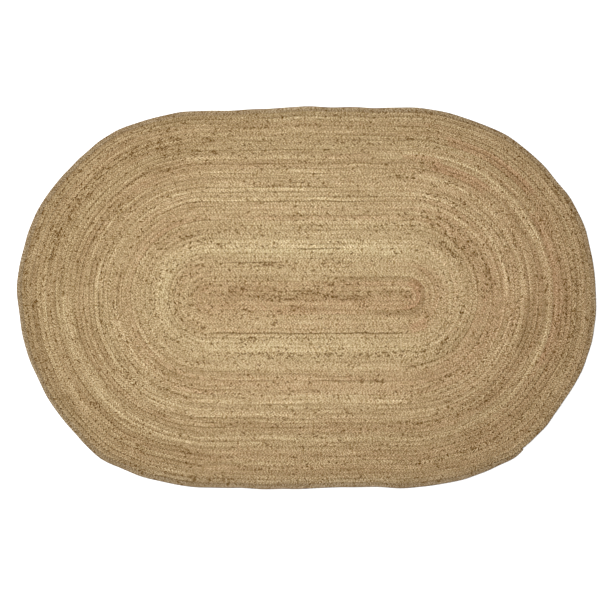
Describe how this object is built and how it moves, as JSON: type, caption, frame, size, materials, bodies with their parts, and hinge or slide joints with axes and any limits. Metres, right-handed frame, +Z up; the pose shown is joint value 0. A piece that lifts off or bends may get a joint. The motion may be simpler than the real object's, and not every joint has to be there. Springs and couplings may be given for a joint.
{
  "type": "oval jute rug",
  "caption": "Flat oval floor rug of one jute braid wound in a spiral, with ribbed rows on top and a flat underside.",
  "frame": {"origin": "middle of the rug's flat underside, on the floor", "axes": "+X along the rug's long side, +Y along its short side, +Z up out of the floor"},
  "size_m": [1.8018, 1.191, 0.009],
  "materials": {
    "jute_braid": "matte golden tan jute braid with brown flecks"
  },
  "bodies": {
    "root": {"braided_rug": "jute_braid"}
  },
  "joints": []
}
